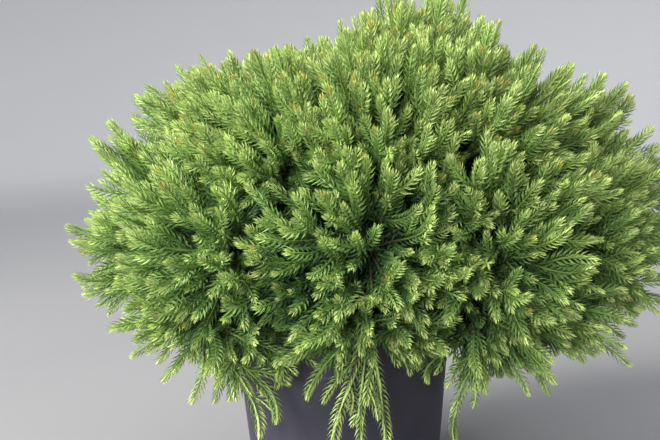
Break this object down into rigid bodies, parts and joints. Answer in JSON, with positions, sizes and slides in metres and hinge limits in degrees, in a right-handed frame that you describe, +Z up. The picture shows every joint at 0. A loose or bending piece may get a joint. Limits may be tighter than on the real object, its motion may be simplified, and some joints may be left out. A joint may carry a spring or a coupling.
{
  "type": "potted dwarf conifer",
  "caption": "Dwarf globe-shaped cedar with dense fox-tail sprays on arching boughs that hang over a plain black nursery pot.",
  "frame": {"origin": "middle of the pot's flat underside, where it stands on the ground", "axes": "+Z up along the pot's axis, +X to the plant's right seen from the front, +Y to its back"},
  "size_m": [0.8427, 0.7435, 0.7177],
  "materials": {
    "pot_plastic": "blow-moulded black polypropylene with a slight blue cast, satin, scuffed with faint pale scratches",
    "potting_mix": "damp dark brown peat and bark chips, matte and crumbly",
    "bark": "red-brown fibrous bark in thin strips, matte, green to orange on young twigs",
    "foliage": "fresh mid-green awl-shaped needles, satin, deeper and bluer inside, yellow-green to cream and bronze at the shoot tips"
  },
  "bodies": {
    "root": {"pot": "pot_plastic", "potting_mix": "potting_mix", "trunk": "bark", "bough_skirt_1": "bark", "bough_skirt_2": "bark", "bough_skirt_3": "bark", "bough_skirt_4": "bark", "bough_skirt_5": "bark", "bough_skirt_6": "bark", "bough_skirt_7": "bark", "bough_skirt_8": "bark", "bough_side_1": "bark", "bough_side_2": "bark", "bough_side_3": "bark", "bough_side_4": "bark", "bough_side_5": "bark", "bough_side_6": "bark", "bough_side_7": "bark", "bough_side_8": "bark", "bough_side_9": "bark", "bough_shoulder_1": "bark", "bough_shoulder_2": "bark", "bough_shoulder_3": "bark", "bough_shoulder_4": "bark", "bough_shoulder_5": "bark", "bough_shoulder_6": "bark", "bough_shoulder_7": "bark", "bough_shoulder_8": "bark", "bough_top_1": "bark", "bough_top_2": "bark", "bough_top_3": "bark", "foliage_skirt_1": "foliage", "foliage_skirt_2": "foliage", "foliage_skirt_3": "foliage", "foliage_skirt_4": "foliage", "foliage_skirt_5": "foliage", "foliage_skirt_6": "foliage", "foliage_skirt_7": "foliage", "foliage_skirt_8": "foliage", "foliage_side_1": "foliage", "foliage_side_2": "foliage", "foliage_side_3": "foliage", "foliage_side_4": "foliage", "foliage_side_5": "foliage", "foliage_side_6": "foliage", "foliage_side_7": "foliage", "foliage_side_8": "foliage", "foliage_side_9": "foliage", "foliage_shoulder_1": "foliage", "foliage_shoulder_2": "foliage", "foliage_shoulder_3": "foliage", "foliage_shoulder_4": "foliage", "foliage_shoulder_5": "foliage", "foliage_shoulder_6": "foliage", "foliage_shoulder_7": "foliage", "foliage_shoulder_8": "foliage", "foliage_top_1": "foliage", "foliage_top_2": "foliage", "foliage_top_3": "foliage"}
  },
  "joints": []
}
